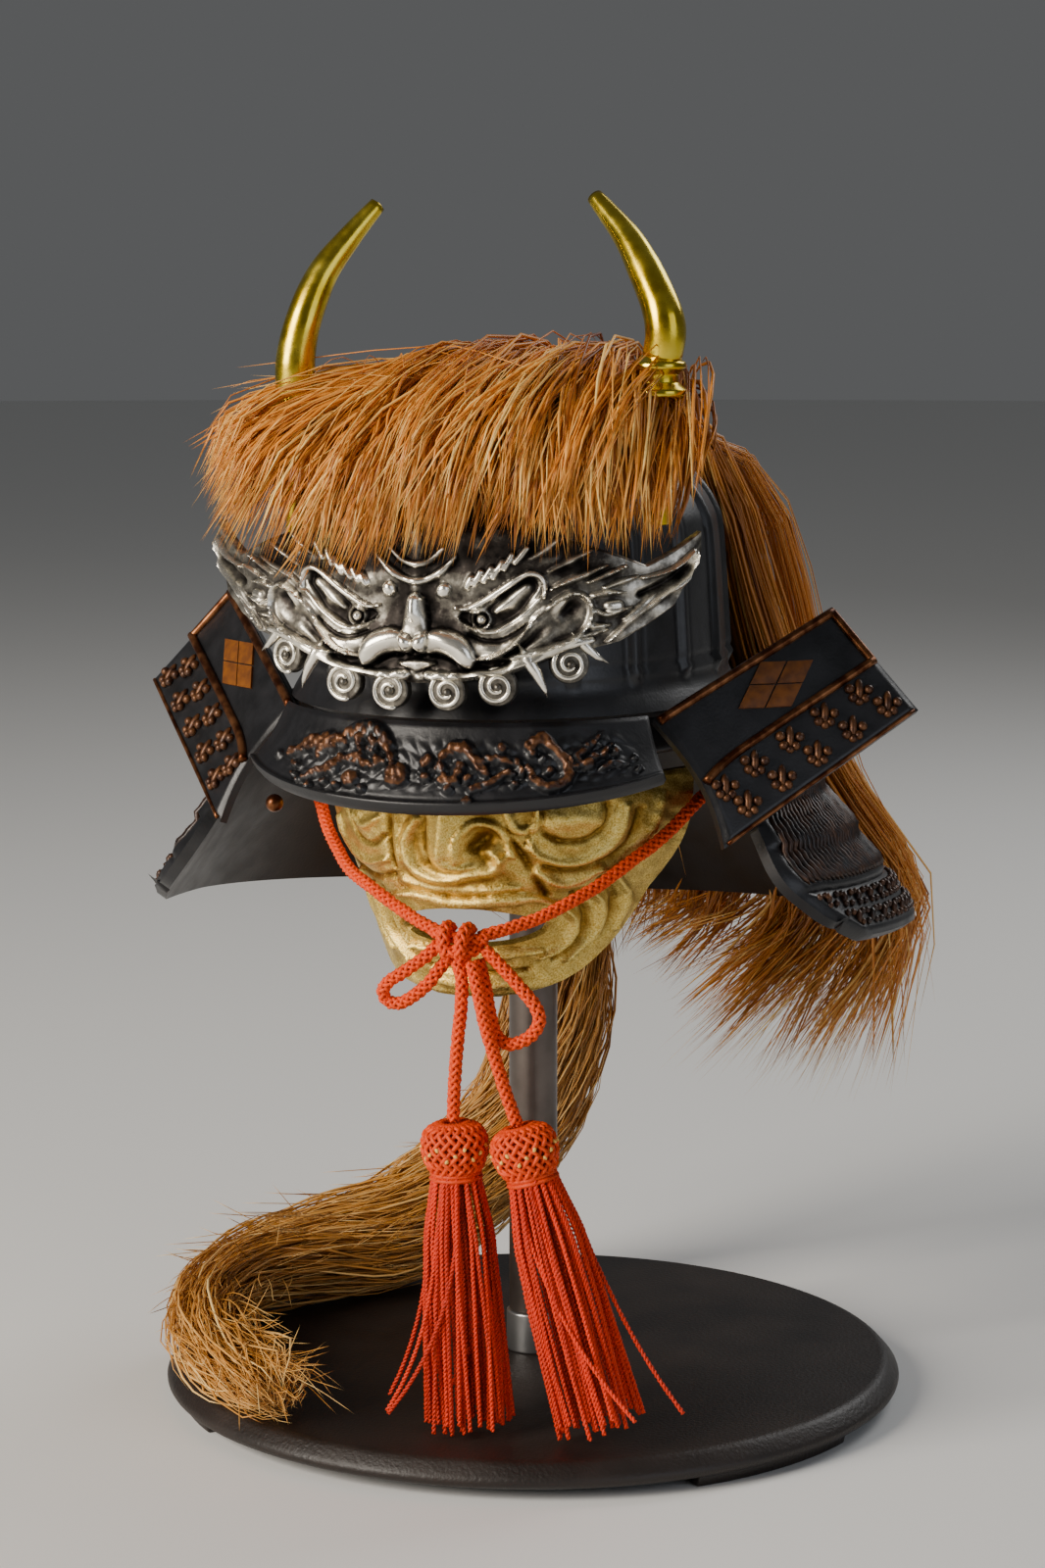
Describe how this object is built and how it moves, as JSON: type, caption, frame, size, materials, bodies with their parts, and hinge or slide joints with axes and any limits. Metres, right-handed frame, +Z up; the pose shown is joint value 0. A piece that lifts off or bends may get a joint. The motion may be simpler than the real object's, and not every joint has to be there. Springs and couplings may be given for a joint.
{
  "type": "kabuto samurai helmet on a display stand",
  "caption": "Small display kabuto helmet with horned beast crest, half mask, lamellar neck guard, hair crest and silk cord with tassels, on a round stand.",
  "frame": {"origin": "centre of the stand base's underside, on the surface it stands on", "axes": "+Z up along the post, -Y the way the helmet faces, +X to the right as seen from the front"},
  "size_m": [0.1924, 0.1882, 0.29],
  "materials": {
    "standIron": "black-brown enamelled cast iron, satin",
    "postSteel": "dark turned steel, satin",
    "ferruleSteel": "bare turned steel",
    "blackLacquer": "black lacquered iron with rubbed copper on the relief",
    "copper": "worn copper",
    "antiqueSilver": "silvered cast relief, blackened in its recesses",
    "hornGilt": "polished gilt",
    "paleGilt": "pale gilt cast shell, grained",
    "horsehair": "copper-brown horsehair",
    "orangeSilk": "orange silk braid and tassels"
  },
  "bodies": {
    "root": {"stand_base": "standIron", "post_ferrule": "ferruleSteel", "stand_post": "postSteel", "mask_bracket": "postSteel", "bowl": "blackLacquer", "visor": "blackLacquer", "neck_guard": "blackLacquer", "turnback_left": "blackLacquer", "turnback_right": "blackLacquer", "visor_rivet": "copper", "crest_mask": "antiqueSilver", "crest_pin": "postSteel", "horn_left": "hornGilt", "horn_right": "hornGilt", "face_mask": "paleGilt", "forelock": "horsehair", "mane": "horsehair", "tail": "horsehair", "chin_cord_loop": "orangeSilk", "bow_loop_left": "orangeSilk", "bow_loop_right": "orangeSilk", "cord_end_left": "orangeSilk", "cord_end_right": "orangeSilk", "bow_knot": "orangeSilk", "tassel_left": "orangeSilk", "tassel_right": "orangeSilk"}
  },
  "joints": []
}
